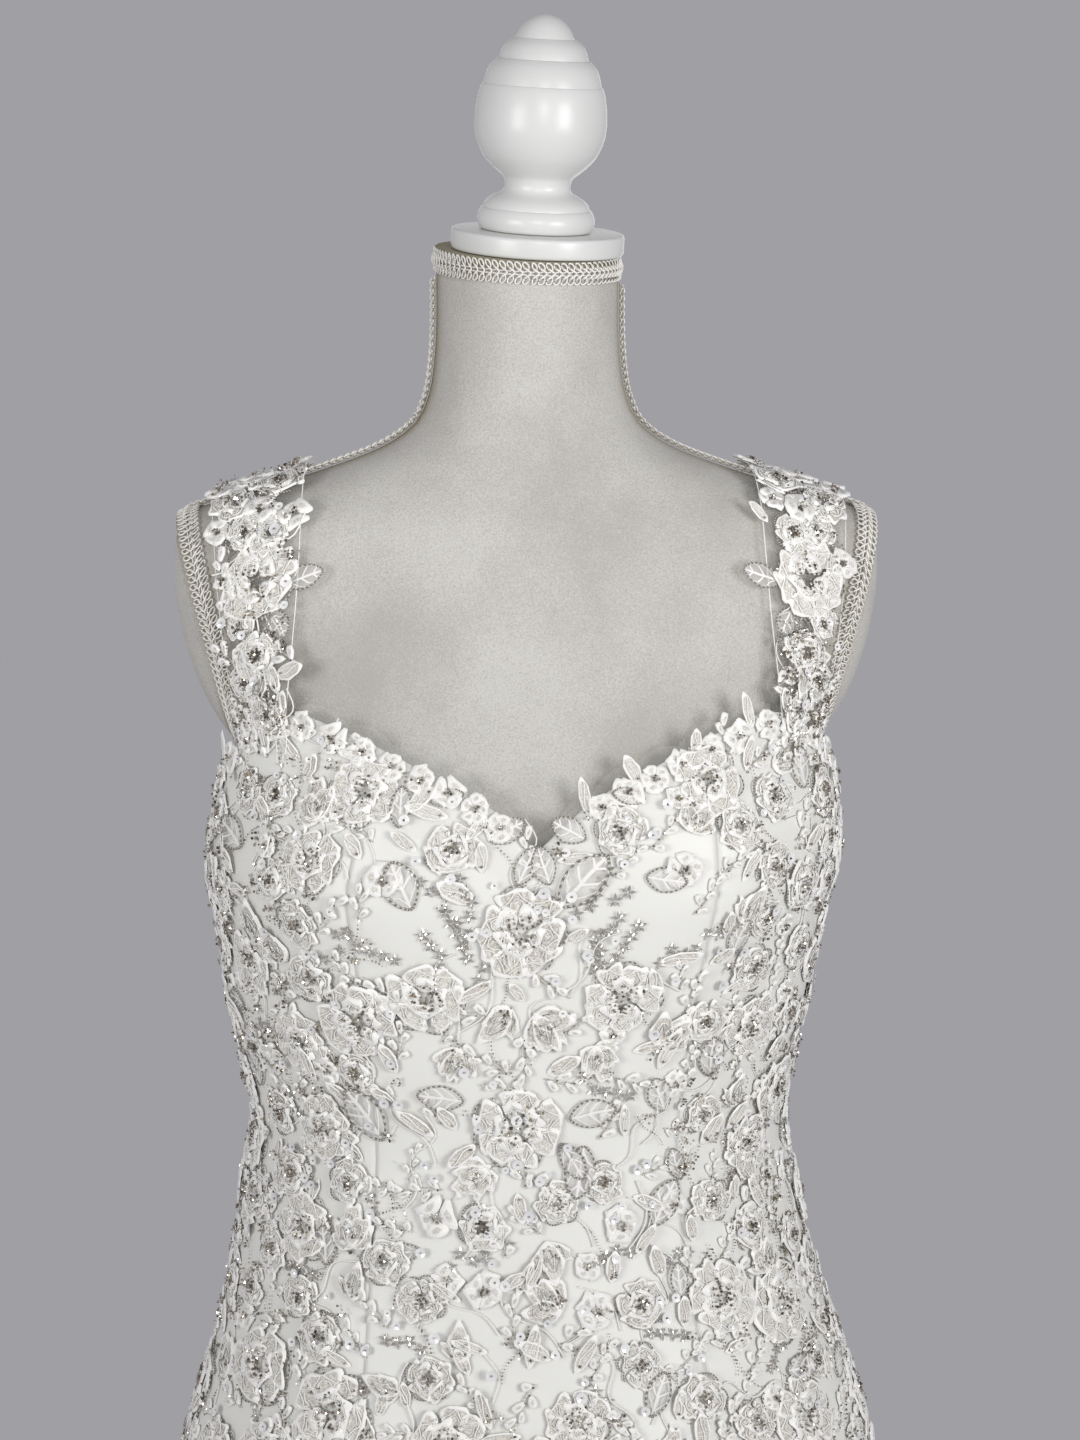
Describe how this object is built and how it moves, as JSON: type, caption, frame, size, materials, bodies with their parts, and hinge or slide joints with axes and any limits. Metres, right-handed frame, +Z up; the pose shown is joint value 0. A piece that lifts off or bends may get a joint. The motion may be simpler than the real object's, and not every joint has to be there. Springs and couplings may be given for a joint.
{
  "type": "wedding dress on a dress form",
  "caption": "Floor-length ivory wedding dress with a sweetheart neckline, net straps and lace bodice, worn on a limbless dress form with a turned finial, pole and round base.",
  "frame": {"origin": "on the floor under the middle of the base and the pole", "axes": "+Z up along the pole, -Y the way the dress faces, +X the wearer's left"},
  "size_m": [0.831, 0.8258, 1.6526],
  "materials": {
    "ivory_satin": "satin under net",
    "net_lace": "matte net and lace",
    "form_jersey": "matte knit",
    "gimp_braid": "matte braid",
    "painted_wood": "gloss white paint",
    "painted_steel": "gloss white paint"
  },
  "bodies": {
    "root": {"back_button_01": "ivory_satin", "back_button_02": "ivory_satin", "back_button_03": "ivory_satin", "back_button_04": "ivory_satin", "back_button_05": "ivory_satin", "back_button_06": "ivory_satin", "back_button_07": "ivory_satin", "back_button_08": "ivory_satin", "back_button_09": "ivory_satin", "back_button_10": "ivory_satin", "back_button_11": "ivory_satin", "back_button_12": "ivory_satin", "back_placket": "ivory_satin", "dress_back_left": "ivory_satin", "dress_back_right": "ivory_satin", "dress_front": "ivory_satin", "dress_side_back_left": "ivory_satin", "dress_side_back_right": "ivory_satin", "dress_side_front_left": "ivory_satin", "dress_side_front_right": "ivory_satin", "form_arm_plate_left": "form_jersey", "form_arm_plate_right": "form_jersey", "form_armhole_braid_left": "gimp_braid", "form_armhole_braid_right": "gimp_braid", "form_finial": "painted_wood", "form_neck_braid": "gimp_braid", "form_neck_cap": "painted_wood", "form_shoulder_braid_left": "gimp_braid", "form_shoulder_braid_right": "gimp_braid", "form_torso": "form_jersey", "neckline_lace_left": "net_lace", "neckline_lace_right": "net_lace", "neckline_net": "net_lace", "stand_base": "painted_steel", "stand_flange": "painted_steel", "stand_pole": "painted_steel", "strap_left": "net_lace", "strap_right": "net_lace"}
  },
  "joints": []
}
